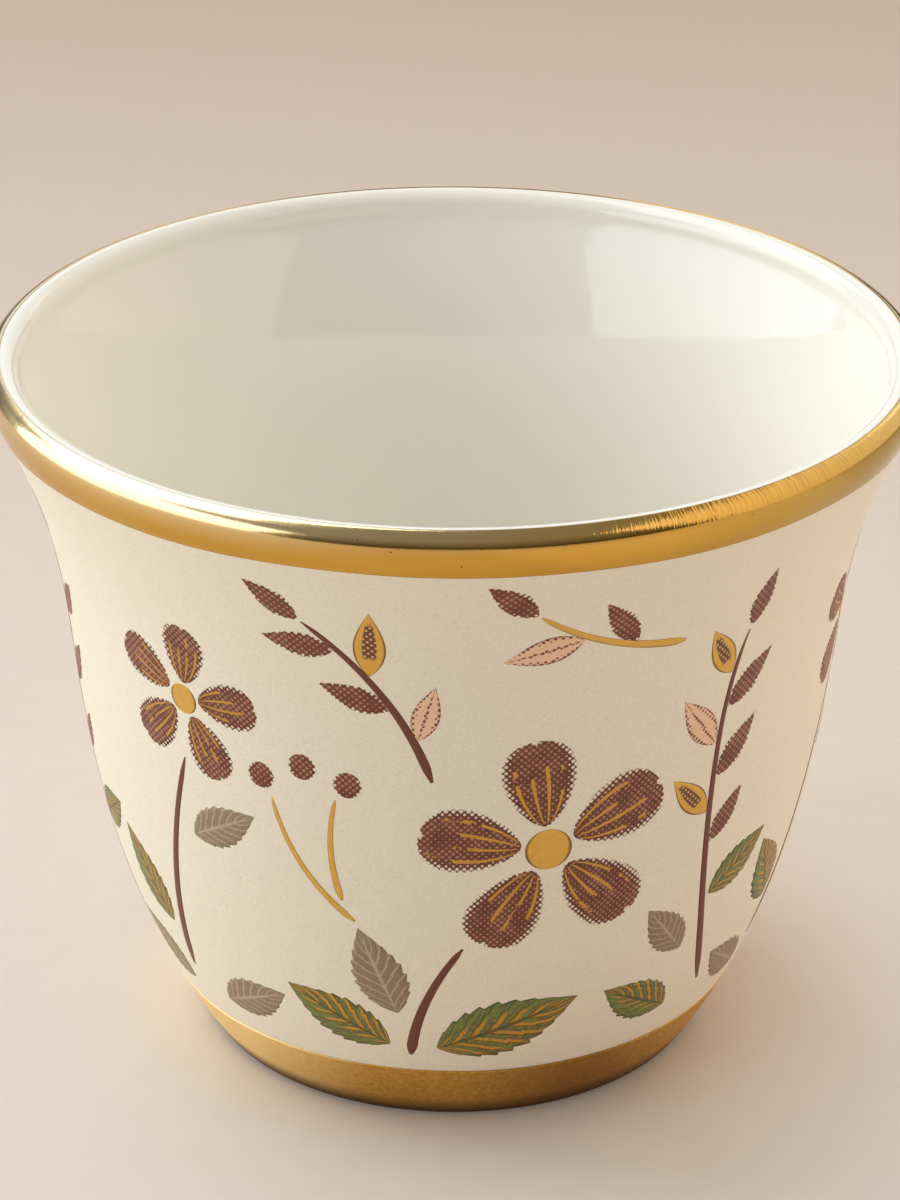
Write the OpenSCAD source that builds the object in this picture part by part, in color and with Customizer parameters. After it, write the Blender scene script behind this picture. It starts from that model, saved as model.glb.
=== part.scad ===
// Small handleless coffee cup of glazed porcelain, with gilded lip and foot and a fired floral print.
// Millimetres. The origin is the centre of the foot ring where it stands on the table, +Z is up,
// and the front of the print faces -Y.

/* [Cup outline] */
// Outer diameter across the glazed lip at its widest
rim_d = 68; // [62:1:76]
// Height from the table to the crest of the lip
cup_h = 53.8; // [50:0.2:62]
// Outer diameter of the foot where it meets the table
foot_d = 37; // [32:0.5:41]
// Distance of the waist, where the wall stands steepest, inside the lip's widest line
waist_inset = 5.4; // [4:0.1:7]
// Height of the waist above the table
waist_h = 33; // [29:0.5:36]
// Distance of the middle of the flare inside the lip's widest line
flare_inset = 1.2; // [0.8:0.1:1.8]
// Depth of the middle of the flare below the crest
flare_drop = 4.7; // [4.4:0.1:7]

/* [Lean of the wall] */
// Lean of the wall from upright at the foot, in degrees
foot_lean = 34; // [26:1:38]
// Lean of the wall at the waist, in degrees
waist_lean = 6; // [3:0.5:10]
// Lean of the wall in the flare, in degrees
flare_lean = 25; // [18:1:30]

/* [Wall and base] */
// Thickness of the finished wall, which is also the thickness of the rounded lip
wall_t = 2.4; // [2:0.1:3.2]
// Height of the inside floor above the table
floor_h = 5.6; // [5:0.1:7]
// Diameter of the flat middle of the inside floor
floor_d = 18; // [12:1:22]
// Depth of the recess under the base
recess_h = 2.2; // [1.6:0.1:2.6]
// Width of the foot ring on which the cup stands
ring_w = 3; // [2.4:0.1:3.6]

/* [Glazes and gilding] */
// Thickness of each glaze
glaze_t = 0.25; // [0.15:0.05:0.4]
// Height of the bare edge of the foot below the outer glaze
dry_edge_h = 0.2; // [0.2:0.1:0.8]
// Thickness of the gilding over the glaze
gold_t = 0.06; // [0.04:0.01:0.1]
// Height of the top of the gold band on the foot
foot_band_h = 5.5; // [3:0.1:8]
// Depth of the lower edge of the gold band on the lip below the crest
rim_band_drop = 3.3; // [3:0.1:6]
// Angle on the rounded lip at which glazes and gilding end, 0 outside and 90 at the crest
crest_angle = 80; // [50:5:85]

/* [Print] */
// Thickness of the fired enamel
enamel_t = 0.06; // [0.06:0.01:0.15]
// Times that the print repeats round the cup
repeats = 3; // [2:1:3]
// Bare glaze between the print and each gold band
print_margin = 0.8; // [0.5:0.1:2]
// Length of a blossom's petal
petal_l = 7.2; // [5:0.1:7.6]
// Width of a blossom's petal
petal_w = 6.6; // [4:0.1:6.8]
// Diameter of a blossom's centre
centre_d = 3.4; // [2.6:0.1:3.6]
// Gap between motifs that meet, such as a centre and its petals
motif_gap = 0.3; // [0.2:0.05:0.4]
// Length of a large leaf
leaf_l = 12.5; // [9:0.1:12.8]
// Width of a large leaf
leaf_w = 6.4; // [4:0.1:6.6]
// Distance of a large leaf from the middle of its stem
leaf_gap = 1.4; // [1.2:0.1:1.8]
// Length of a bud leaf on the sprays
bud_l = 5.6; // [4:0.1:5.8]
// Width of a bud leaf
bud_w = 2.3; // [1.4:0.1:2.5]
// Diameter of a berry
berry_d = 2.1; // [1.4:0.1:2.2]
// Width of a stem
stem_w = 0.7; // [0.5:0.1:0.8]

/* [Hidden] */

porcelain = "#F1EEE6";
clear_white = "#F4F4EE";
satin_cream = "#F3EAD3";
bright_gold = "#C9962F";
maroon = "#6B3A30";
moss = "#6C7440";
taupe = "#8B7F6E";
peach = "#E2B795";
ochre = "#C8932E";

// Radius of the rounded lip
lip_r = wall_t / 2;
// Height of the lip's widest line
lip_h = cup_h - lip_r;

// Length of each curve's handles, as a share of its chord
handle_share = 0.36;
// Handles of the inside well, as shares of its height and of its floor's distance from the wall
well_drop_share = 0.62;
well_run_share = 0.5;

// Points on a cubic curve and its direction there
function curve_at(p, t) = pow(1 - t, 3) * p[0] + 3 * t * pow(1 - t, 2) * p[1]
    + 3 * t * t * (1 - t) * p[2] + pow(t, 3) * p[3];
function slope_at(p, t) = 3 * pow(1 - t, 2) * (p[1] - p[0]) + 6 * t * (1 - t) * (p[2] - p[1])
    + 3 * t * t * (p[3] - p[2]);
// Unit direction that leans outwards from upright, and the outward normal of a direction
function leaning(a) = [sin(a), cos(a)];
function outward(d) = [d[1], -d[0]] / norm(d);
// Curve between two places that leaves and arrives at given leans
function wall_curve(a, b, lean_a, lean_b) = [a, a + handle_share * norm(b - a) * leaning(lean_a),
    b - handle_share * norm(b - a) * leaning(lean_b), b];

foot_place = [foot_d / 2, 0];
waist_place = [rim_d / 2 - waist_inset, waist_h];
flare_place = [rim_d / 2 - flare_inset, cup_h - flare_drop];
lip_place = [rim_d / 2, lip_h];
lower_wall = wall_curve(foot_place, waist_place, foot_lean, waist_lean);
upper_wall = wall_curve(waist_place, flare_place, waist_lean, flare_lean);
lip_wall = wall_curve(flare_place, lip_place, flare_lean, 0);

// Stations along the outside, from the foot to the lip: each is a place with its outward normal
lower_steps = 14;
upper_steps = 9;
lip_steps = 5;
function stations(p, n, first) = [for (i = [first:n]) [curve_at(p, i / n), outward(slope_at(p, i / n))]];
outside = concat(stations(lower_wall, lower_steps, 0), stations(upper_wall, upper_steps, 1),
    stations(lip_wall, lip_steps, 1));

// Skin moved along its normals and kept between two heights, or from a height up to the lip;
// its ends are cut square
function height_between(a, b, h) = (h - a[0][1]) / (b[0][1] - a[0][1]);
function station_at(h) = let (i = [for (k = [0:len(outside) - 2])
        if (outside[k][0][1] <= h && outside[k + 1][0][1] > h) k][0],
        a = outside[i], b = outside[i + 1], t = height_between(a, b, h))
    [a[0] + t * (b[0] - a[0]), (a[1] + t * (b[1] - a[1]))];
function skin_between(off, low, high) = let (a = station_at(low), b = station_at(high))
    concat([a[0] + off * a[1]],
        [for (s = outside) if (s[0][1] > low && s[0][1] < high) s[0] + off * s[1]],
        [b[0] + off * b[1]]);
function skin_above(off, low) = let (a = station_at(low)) concat([a[0] + off * a[1]],
    [for (s = outside) if (s[0][1] > low && s[0][1] < lip_h) s[0] + off * s[1]]);
function reversed(list) = [for (i = [len(list) - 1:-1:0]) list[i]];
// Radius of the glazed wall at a height
function wall_r(h) = station_at(h)[0][0];

// Rounded lip, from the outside at 0 degrees over the crest at 90 to the inside at 180
lip_arc_steps = 12;
lip_centre = [rim_d / 2 - lip_r, lip_h];
function lip_arc(r, from, to) = [for (i = [0:lip_arc_steps])
    let (a = from + (to - from) * i / lip_arc_steps) lip_centre + r * [cos(a), sin(a)]];

// Inside of the wall: it keeps the wall's thickness down to the waist, then sinks into a rounded
// well. A depth of 0 gives the glazed surface, and more goes into the clay.
function inside_wall(deep) = reversed([for (s = outside)
    if (s[0][1] > waist_h && s[0][1] < lip_h) s[0] - (wall_t - deep) * s[1]]);
well_top = waist_place - wall_t * outward(leaning(waist_lean));
well_end = [floor_d / 2, floor_h];
well_curve = [well_top, well_top - well_drop_share * (well_top[1] - floor_h) * leaning(waist_lean),
    well_end + [well_run_share * (well_top[0] - well_end[0]), 0], well_end];
well_steps = 16;
function well_points(deep) = [for (i = [0:well_steps])
    curve_at(well_curve, i / well_steps) - deep * outward(slope_at(well_curve, i / well_steps))];
function inside_skin(deep) = concat(inside_wall(deep), well_points(deep), [[0, floor_h - deep]]);

// Underside: a recess with a rounded corner inside the foot ring, from its middle out to the ring
recess_r = foot_d / 2 - ring_w;
recess_fillet = recess_h / 2;
recess_steps = 6;
function recess_skin(deep) = concat([[0, recess_h + deep]], [for (i = [0:recess_steps])
    let (a = 90 - 90 * i / recess_steps)
    [recess_r - recess_fillet, recess_h - recess_fillet]
        + (recess_fillet + deep) * [cos(a), sin(a)]]);

// Half outline of the clay, with a rebate for each glaze and dry edges on the foot ring
module body_outline() {
    polygon(concat([[recess_r, 0], foot_place, skin_above(0, dry_edge_h)[0]],
        skin_above(-glaze_t, dry_edge_h), lip_arc(lip_r - glaze_t, 0, 180), inside_skin(glaze_t),
        recess_skin(glaze_t), [[recess_r, recess_h - recess_fillet]]));
}

// Outer satin glaze: from the dry edge of the foot over the outside of the lip
module outer_glaze_outline() {
    polygon(concat(skin_above(0, dry_edge_h), lip_arc(lip_r, 0, crest_angle),
        reversed(concat(skin_above(-glaze_t, dry_edge_h), lip_arc(lip_r - glaze_t, 0, crest_angle)))));
}

// Inner clear glaze: from the same line on the lip down the wall and over the floor
module inner_glaze_outline() {
    polygon(concat(lip_arc(lip_r, crest_angle, 180), inside_skin(0),
        reversed(concat(lip_arc(lip_r - glaze_t, crest_angle, 180), inside_skin(glaze_t)))));
}

// Glaze under the base: over the roof of the recess and its rounded corner
module base_glaze_outline() {
    polygon(concat(recess_skin(0), reversed(recess_skin(glaze_t))));
}

module porcelain_body() {
    color(porcelain) rotate_extrude() body_outline();
}

module outer_glaze() {
    color(satin_cream) rotate_extrude() outer_glaze_outline();
}

module inner_glaze() {
    color(clear_white) rotate_extrude() inner_glaze_outline();
}

module base_glaze() {
    color(clear_white) rotate_extrude() base_glaze_outline();
}

// Gold on the lip: from its lower edge round the widest line to the end of the outer glaze
module rim_gilding() {
    color(bright_gold) rotate_extrude()
        polygon(concat(skin_above(gold_t, cup_h - rim_band_drop), lip_arc(lip_r + gold_t, 0, crest_angle),
            reversed(concat(skin_above(0, cup_h - rim_band_drop), lip_arc(lip_r, 0, crest_angle)))));
}

// Gold on the foot: from the dry edge to the height of the band
module foot_gilding() {
    color(bright_gold) rotate_extrude()
        polygon(concat(skin_between(gold_t, dry_edge_h, foot_band_h),
            reversed(skin_between(0, dry_edge_h, foot_band_h))));
}

// Zone of the print between the two gold bands
print_low = foot_band_h + print_margin;
print_high = cup_h - rim_band_drop - print_margin;
print_h = print_high - print_low;
repeat_angle = 360 / repeats;

// Film of enamel over the whole zone, from which each outline takes its piece
module enamel_film() {
    rotate_extrude() polygon(concat(skin_between(enamel_t, print_low, print_high),
        reversed(skin_between(0, print_low, print_high))));
}

// Puts an outline on the wall, at shares of the repeat's angle and of the zone's height, and
// projects it inwards and outwards by its own reach, far enough to pass through the film
module on_wall(place_shares, reach) {
    h = print_low + print_h * place_shares[1];
    rotate([0, 0, repeat_angle * place_shares[0]]) translate([0, reach - wall_r(h), h])
        rotate([90, 0, 0]) linear_extrude(reach * 2) children();
}

// Everything of one colour, at each repeat round the cup and only as thick as the film
module printed() {
    intersection() {
        enamel_film();
        for (r = [0:repeats - 1]) rotate([0, 0, repeat_angle * r]) children();
    }
}

// Closes half an outline with its mirror image, from the stalk end to the tip
function mirrored(half, tip) = concat([[0, 0]], half, [[0, tip]],
    reversed([for (p = half) [-p[0], p[1]]]));

// Pointed bud leaf: a swell under 1 puts its widest place nearer the stalk
leaf_steps = 8;
leaf_swell_share = 0.8;
module leaf(l, w) {
    polygon(mirrored([for (i = [1:leaf_steps - 1])
        [w / 2 * sin(180 * pow(i / leaf_steps, leaf_swell_share)), l * i / leaf_steps]], l));
}

// Leaf with a saw edge: at each tooth its side steps in by a share of its half width
leaf_teeth = 9;
tooth_share = 0.14;
module saw_leaf(l, w) {
    polygon(mirrored([for (i = [1:leaf_teeth - 1], s = [1, 1 - tooth_share])
        [s * w / 2 * sin(180 * pow(i / leaf_teeth, leaf_swell_share)), l * i / leaf_teeth]], l));
}

// Petal: narrow at the centre, broad and a little notched at its end
petal_steps = 10;
petal_foot_share = 0.35;
petal_full_share = 1.16;
notch_share = 0.93;
module petal(l, w) {
    polygon(mirrored([for (i = [1:petal_steps - 1]) let (t = i / petal_steps)
        [w / 2 * petal_full_share * sin(180 * t) * (petal_foot_share + (1 - petal_foot_share) * t),
            l * (1 - cos(180 * t)) / 2]], l * notch_share));
}

// Arc with its middle at the origin: place at a share of its length, and its turn to the left there
function arc_place(l, curl, t) = curl == 0 ? [0, l * (t - 0.5)]
    : let (r = l * 180 / (PI * curl), a = curl * (t - 0.5)) [r * (cos(a) - 1), r * sin(a)];
function arc_turn(curl, t) = curl * (t - 0.5);

// Stem along such an arc, thinner towards its end
stem_steps = 8;
stem_end_share = 0.55;
module stem(l, curl, w) {
    function side(s) = [for (i = [0:stem_steps]) let (t = i / stem_steps, a = arc_turn(curl, t))
        arc_place(l, curl, t) + s * w / 2 * (1 - (1 - stem_end_share) * t) * [cos(a), sin(a)]];
    polygon(concat(side(-1), reversed(side(1))));
}

// Blossoms: place, size and turn
petals = 5;
blossom_shares = [[0.115, 0.47], [-0.34, 0.68]];
blossom_size_shares = [1, 0.7];
blossom_turns = [8, -10];

module blossom_petals() {
    for (b = [0:len(blossom_shares) - 1], i = [0:petals - 1])
        on_wall(blossom_shares[b], petal_l + centre_d)
            rotate(blossom_turns[b] + 360 / petals * i)
                translate([0, (centre_d / 2 + motif_gap) * blossom_size_shares[b]])
                    petal(petal_l * blossom_size_shares[b], petal_w * blossom_size_shares[b]);
}

module blossom_centres() {
    for (b = [0:len(blossom_shares) - 1])
        on_wall(blossom_shares[b], centre_d) circle(d = centre_d * blossom_size_shares[b], $fn = 32);
}

// Bare stems: place, turn in degrees, length as a share of the zone, curl in degrees, width
maroon_stem_shares = [[[-0.037, 0.155], -20, 0.272, -30, 1.2], [[-0.402, 0.33], -14, 0.49, -12, 1.1]];
gold_stem_shares = [[[-0.19, 0.42], 30, 0.26, -40, 0.8], [[-0.15, 0.46], 0, 0.2, -30, 0.8]];

module stems(shares) {
    for (s = shares) on_wall(s[0], print_h * s[2] / 2)
        rotate(s[1]) stem(print_h * s[2], s[3], stem_w * s[4]);
}

// Large leaves round the roots: place, turn in degrees, size, distance from the stem
green_leaf_shares = [[[-0.07, 0.03], 58, 0.7, 1], [[-0.05, 0.03], -66, 0.88, 1],
    [[-0.44, 0.15], 30, 0.64, 1], [[0.37, 0.04], 60, 0.6, 1], [[0.33, 0.26], -58, 0.54, 1.7]];
taupe_leaf_shares = [[[-0.065, 0.08], 18, 0.66, 1.5], [[-0.44, 0.03], 58, 0.56, 1],
    [[-0.41, 0.03], -64, 0.58, 1.2], [[-0.37, 0.4], -60, 0.54, 0.9],
    [[0.35, 0.17], 40, 0.5, 0.8]];

module leaves(shares) {
    for (s = shares) on_wall(s[0], leaf_l) rotate(s[1]) translate([0, leaf_gap * s[3]])
        saw_leaf(leaf_l * s[2], leaf_w * s[2]);
}

// Sprays: place, turn, length, curl, share of the stem below the first bud, and the colour of each
// bud up to the one at the tip
spray_shares = [
    [[0.34, 0.44], 4, 0.74, -34, 0.44, ["maroon", "gold", "maroon", "peach", "maroon", "gold", "maroon"]],
    [[-0.08, 0.77], 34, 0.36, 36, 0.2, ["peach", "maroon", "gold", "maroon", "maroon"]],
    [[0.17, 0.86], 70, 0.28, -34, 0.3, ["maroon", "peach", "maroon"]]];
// Colours of the sprays' stems, the share of a spray at which its last side bud sits, the angle
// between a bud and its stem, and the loss of size towards the ends
spray_stem_colours = ["maroon", "maroon", "gold"];
last_bud_share = 0.97;
bud_angle = 40;
bud_loss_share = 0.15;

module spray_stems(colour) {
    for (k = [0:len(spray_shares) - 1]) let (s = spray_shares[k])
        if (spray_stem_colours[k] == colour) on_wall(s[0], print_h * s[2] / 2)
            rotate(s[1]) stem(print_h * s[2], s[3], stem_w);
}

// A side bud leans off its stem by turns to the right and to the left, and the last ends the stem
module spray_buds(colour) {
    for (s = spray_shares, i = [0:len(s[5]) - 1])
        if (s[5][i] == colour)
            let (last = len(s[5]) - 1, at_tip = i == last, l = print_h * s[2],
                t = at_tip ? 1 : s[4] + (last_bud_share - s[4]) * i / last,
                side = at_tip ? 0 : (i % 2 == 1 ? 1 : -1),
                size = 1 - bud_loss_share * abs(2 * i / last - 1))
            on_wall(s[0], l / 2 + bud_l) rotate(s[1]) translate(arc_place(l, s[3], t))
                rotate(arc_turn(s[3], t) + bud_angle * side)
                    translate([0, at_tip ? motif_gap : stem_w + motif_gap])
                        leaf(bud_l * size, bud_w * size);
}

berry_shares = [[-0.235, 0.58], [-0.18, 0.612], [-0.125, 0.59]];
module berries() {
    for (b = berry_shares) on_wall(b, berry_d) circle(d = berry_d, $fn = 24);
}

module maroon_enamel() {
    color(maroon) printed() {
        blossom_petals();
        stems(maroon_stem_shares);
        spray_stems("maroon");
        spray_buds("maroon");
        berries();
    }
}

module green_enamel() {
    color(moss) printed() leaves(green_leaf_shares);
}

module taupe_enamel() {
    color(taupe) printed() leaves(taupe_leaf_shares);
}

module peach_enamel() {
    color(peach) printed() spray_buds("peach");
}

module gold_enamel() {
    color(ochre) printed() {
        blossom_centres();
        stems(gold_stem_shares);
        spray_stems("gold");
        spray_buds("gold");
    }
}

porcelain_body();
inner_glaze();
outer_glaze();
base_glaze();
rim_gilding();
foot_gilding();
maroon_enamel();
green_enamel();
taupe_enamel();
peach_enamel();
gold_enamel();
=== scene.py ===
# Small handleless coffee cup: glazed porcelain with a gilded lip and foot and a fired floral print.
# Metres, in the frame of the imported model: the foot stands on z = 0 and the print faces -Y. Sizes
# are written in millimetres, and MM turns them to metres.
import math

import bmesh
import bpy
import numpy as np
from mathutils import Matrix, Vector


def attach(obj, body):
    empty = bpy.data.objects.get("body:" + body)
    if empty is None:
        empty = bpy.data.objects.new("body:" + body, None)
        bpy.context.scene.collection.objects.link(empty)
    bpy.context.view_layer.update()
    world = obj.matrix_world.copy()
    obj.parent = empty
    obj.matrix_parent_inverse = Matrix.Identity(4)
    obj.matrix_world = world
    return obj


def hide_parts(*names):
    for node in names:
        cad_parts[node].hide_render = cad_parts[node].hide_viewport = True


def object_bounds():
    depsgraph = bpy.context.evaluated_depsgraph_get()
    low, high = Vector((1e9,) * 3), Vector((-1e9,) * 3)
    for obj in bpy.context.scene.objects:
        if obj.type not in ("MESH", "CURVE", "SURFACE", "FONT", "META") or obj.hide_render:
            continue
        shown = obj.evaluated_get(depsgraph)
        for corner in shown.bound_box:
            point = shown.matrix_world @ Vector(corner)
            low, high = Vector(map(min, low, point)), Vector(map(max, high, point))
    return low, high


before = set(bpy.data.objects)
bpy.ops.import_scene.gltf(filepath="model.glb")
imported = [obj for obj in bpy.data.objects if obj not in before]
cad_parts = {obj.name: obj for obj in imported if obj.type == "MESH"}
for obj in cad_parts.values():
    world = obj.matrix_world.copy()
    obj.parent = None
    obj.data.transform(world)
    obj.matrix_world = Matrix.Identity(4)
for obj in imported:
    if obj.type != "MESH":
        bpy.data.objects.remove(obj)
cad_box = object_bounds()
MM = 0.001


# Wall of the cup
# The cup is jiggered from one piece of porcelain: a wall 2.4 mm thick that leans out from a narrow
# foot, stands steepest at the waist and flares to a rounded lip. Every coat follows this outline.
GOLD = 0.06
# The gold on the lip is the outermost coat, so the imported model's box gives the rim and the height
RIM_R = round(cad_box[1][0] / MM - GOLD, 1)
CUP_H = round(cad_box[1][2] / MM - GOLD, 1)
FOOT_R, WAIST_R, WAIST_H = 18.5, RIM_R - 5.4, 33.0
FLARE_R, FLARE_H = RIM_R - 1.2, CUP_H - 4.7
FOOT_LEAN, WAIST_LEAN, FLARE_LEAN = 34.0, 6.0, 25.0
WALL, GLAZE, DRY_EDGE = 2.4, 0.25, 0.2
LIP_R = WALL / 2
LIP_H = CUP_H - LIP_R
# The handles of a curve, as a share of the straight way between its ends
HANDLE = 0.36


def leaning(degrees):
    """Direction that leans outwards from upright, as (radius, height)."""
    return np.array([math.sin(math.radians(degrees)), math.cos(math.radians(degrees))])


def cubic(p, t):
    """Points of the cubic curve with the four control points p."""
    t = np.asarray(t, float)[:, None]
    s = 1 - t
    return s ** 3 * p[0] + 3 * t * s ** 2 * p[1] + 3 * t ** 2 * s * p[2] + t ** 3 * p[3]


def cubic_slope(p, t):
    t = np.asarray(t, float)[:, None]
    s = 1 - t
    return 3 * s ** 2 * (p[1] - p[0]) + 6 * t * s * (p[2] - p[1]) + 3 * t ** 2 * (p[3] - p[2])


def outward(slope):
    """Unit normals on the outer side of a curve that climbs."""
    return np.stack([slope[:, 1], -slope[:, 0]], 1) / np.linalg.norm(slope, axis=1)[:, None]


def wall_curve(low, high, low_lean, high_lean):
    reach = HANDLE * np.linalg.norm(high - low)
    return [low, low + reach * leaning(low_lean), high - reach * leaning(high_lean), high]


stations = [np.array([FOOT_R, 0.0]), np.array([WAIST_R, WAIST_H]),
            np.array([FLARE_R, FLARE_H]), np.array([RIM_R, LIP_H])]
leans = [FOOT_LEAN, WAIST_LEAN, FLARE_LEAN, 0.0]
places, normals = [], []
for low, high, low_lean, high_lean, steps in zip(stations, stations[1:], leans, leans[1:], (70, 44, 22)):
    curve = wall_curve(low, high, low_lean, high_lean)
    t = np.linspace(0, 1, steps + 1)[1 if places else 0:]
    places.append(cubic(curve, t))
    normals.append(outward(cubic_slope(curve, t)))
SKIN, SKIN_OUT = np.vstack(places), np.vstack(normals)


def skin_at(height, off=0.0):
    """Radius and height, in mm, of the glazed outside at a height, moved off along its normal."""
    height = np.asarray(height, float)
    radius, out_r, out_z = (np.interp(height, SKIN[:, 1], column)
                            for column in (SKIN[:, 0], SKIN_OUT[:, 0], SKIN_OUT[:, 1]))
    return radius + off * out_r, height + off * out_z


def skin_between(off, low, high, steps):
    return np.stack(skin_at(np.linspace(low, high, steps), off), 1)


def lip_arc(radius, start, end, steps):
    """Points of an arc round the middle of the lip, by its angles above level."""
    a = np.radians(np.linspace(start, end, steps))
    return np.stack([RIM_R - LIP_R + radius * np.cos(a), LIP_H + radius * np.sin(a)], 1)


def lathe(name, outline, turns=288, wave=None):
    """Closed body of revolution from a closed outline of (radius, height) in mm, as smooth quads.

    wave gives how far a point of the outline moves up or down round the cup, as a hand does."""
    angle = np.linspace(0, 2 * math.pi, turns, endpoint=False)
    points, faces = [], []
    for i, (radius, height) in enumerate(outline):
        lift = wave(i, angle) if wave else 0.0 * angle
        ring = np.stack([radius * np.sin(angle), -radius * np.cos(angle), height + lift], 1)
        points += (ring * MM).tolist()
    on_axis = outline[:, 0] < 1e-6
    for i in range(len(outline)):
        j = (i + 1) % len(outline)
        for k in range(turns):
            m = (k + 1) % turns
            if on_axis[i] and not on_axis[j]:
                faces.append((i * turns, j * turns + m, j * turns + k))
            elif on_axis[j] and not on_axis[i]:
                faces.append((i * turns + k, i * turns + m, j * turns))
            elif not on_axis[i]:
                faces.append((i * turns + k, i * turns + m, j * turns + m, j * turns + k))
    mesh = bpy.data.meshes.new(name)
    mesh.from_pydata(points, [], faces)
    mesh.validate()
    close_up(mesh)
    piece = bpy.data.objects.new(name, mesh)
    bpy.context.collection.objects.link(piece)
    return piece


def close_up(mesh):
    """Drops points that no face uses, merges doubles, turns every face outwards and smooths."""
    work = bmesh.new()
    work.from_mesh(mesh)
    bmesh.ops.delete(work, geom=[v for v in work.verts if not v.link_faces], context="VERTS")
    bmesh.ops.remove_doubles(work, verts=work.verts, dist=1e-8)
    bmesh.ops.recalc_face_normals(work, faces=work.faces)
    work.to_mesh(mesh)
    work.free()
    for face in mesh.polygons:
        face.use_smooth = True


def linear(hex_colour):
    """Linear colour of an sRGB hex value."""
    parts = [int(hex_colour[i:i + 2], 16) / 255 for i in (1, 3, 5)]
    return tuple(c / 12.92 if c <= 0.04045 else ((c + 0.055) / 1.055) ** 2.4 for c in parts) + (1.0,)


def node_adder(tree, family="ShaderNode"):
    """Gives the one function that adds a node, of any kind, to a tree."""
    def add(kind, inputs=(), out=0, **settings):
        """Adds a node with its settings; inputs are values, or sockets to link. Gives one output.

        A Mix of colours has its share at input 0, its colours at 6 and 7, and its result at output 2."""
        new = tree.nodes.new(family + kind)
        for key, value in settings.items():
            setattr(new, key, value)
        for key, value in inputs.items() if isinstance(inputs, dict) else enumerate(inputs):
            if isinstance(value, bpy.types.NodeSocket):
                tree.links.new(value, new.inputs[key])
            else:
                new.inputs[key].default_value = value
        return new.outputs if out is None else new.outputs[out]
    return add


def material(name):
    made = bpy.data.materials.new(name)
    made.use_nodes = True
    made.node_tree.nodes.clear()
    return made, node_adder(made.node_tree)


# Bare porcelain shows only on the ring under the foot: matt, a little warm, ground after firing
biscuit, add = material("bare ground porcelain")
spot = add("TexCoord", out="Object")
grit = add("TexNoise", {"Vector": spot, "Scale": 1 / (0.3846 * MM), "Detail": 3.0})
tone = add("Mix", {0: grit, 6: linear("#DDD5C4"), 7: linear("#F0EBDF")}, 2, data_type="RGBA")
# Its edge is painted dark brown where it stands on the table: a painted contact shade
above_contact_shade = add("MapRange", [add("SeparateXYZ", [spot], 2), 0.2 * MM, 0.5 * MM])
contact_shaded = add("Mix", {0: above_contact_shade, 6: linear("#5E4834"), 7: tone}, 2, data_type="RGBA")
relief = add("Bump", {"Height": grit, "Strength": 0.25, "Distance": 0.05 * MM})
shader = add("BsdfPrincipled", {"Base Color": contact_shaded, "Roughness": 0.72, "IOR": 1.5, "Normal": relief})
add("OutputMaterial", [shader], None)
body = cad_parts["porcelain_body"]
body.data.materials.clear()
body.data.materials.append(biscuit)


# Inner glaze
# The inside is white porcelain under a clear glaze, poured in and out: glossy, with the faint
# unevenness that a poured glaze keeps, and a soft ring where the wall turns into the floor.
FLOOR_H, FLOOR_R = 5.6, 9.0
# Reach of the well's curve down from the waist and out from the floor, as shares of its size
WELL_DROP, WELL_RUN = 0.62, 0.5
well_top = stations[1] - WALL * outward(leaning(WAIST_LEAN)[None, :])[0]
well_end = np.array([FLOOR_R, FLOOR_H])
well_curve = [well_top, well_top - WELL_DROP * (well_top[1] - FLOOR_H) * leaning(WAIST_LEAN),
              well_end + np.array([WELL_RUN * (well_top[0] - FLOOR_R), 0.0]), well_end]


def inside_skin(deep):
    """Inside of the cup from the lip to the middle of the floor, deep mm into the clay."""
    above = (SKIN[:, 1] > WAIST_H) & (SKIN[:, 1] < LIP_H)
    wall = (SKIN[above] - (WALL - deep) * SKIN_OUT[above])[::-1]
    t = np.linspace(0, 1, 60)
    well = cubic(well_curve, t) - deep * outward(cubic_slope(well_curve, t))
    floor = np.stack([np.linspace(FLOOR_R, 0, 8)[1:], np.full(7, FLOOR_H - deep)], 1)
    return np.vstack([wall, well, floor])


# The two glazes meet on the lip, at this angle above level
CREST = 80.0
inner_faces = [np.vstack([lip_arc(LIP_R - deep, CREST, 180, 40), inside_skin(deep)]) for deep in (0, GLAZE)]
inner_glaze = lathe("inner_glaze_coat", np.vstack([inner_faces[0], inner_faces[1][::-1]]))

# Clear glaze: a mirror-like gloss whose highlights waver a little, over a white that isn't quite even
clear_glaze, add = material("clear glaze on white porcelain")
spot = add("TexCoord", out="Object")
cloud = add("TexNoise", {"Vector": spot, "Scale": 1 / (16.7 * MM), "Detail": 2.0})
tone = add("Mix", {0: cloud, 6: linear("#F3F0E4"), 7: linear("#F7F4EA")}, 2, data_type="RGBA")
orange_peel = add("TexNoise", {"Vector": spot, "Scale": 1 / (5.26 * MM), "Detail": 1.0})
relief = add("Bump", {"Height": orange_peel, "Strength": 0.06, "Distance": 0.3 * MM})
shader = add("BsdfPrincipled", {"Base Color": tone, "Roughness": 0.07, "IOR": 1.52, "Normal": relief})
add("OutputMaterial", [shader], None)
inner_glaze.data.materials.append(clear_glaze)
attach(inner_glaze, "root")
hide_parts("inner_glaze")


# Outer glaze
# The outside has a cream satin glaze, sprayed: it scatters the light softly and carries the very
# fine speckle that a sprayed matt glaze dries to.

# A coat's points on the wall stop this short of the lip's arc, so that no two of them coincide
SHY = 0.01
outer_faces = [np.vstack([skin_between(-deep, DRY_EDGE, LIP_H - SHY, 150),
                          lip_arc(LIP_R - deep, 0, CREST, 18)]) for deep in (0, GLAZE)]
outer_glaze = lathe("outer_glaze_coat", np.vstack([outer_faces[0], outer_faces[1][::-1]]))

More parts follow.
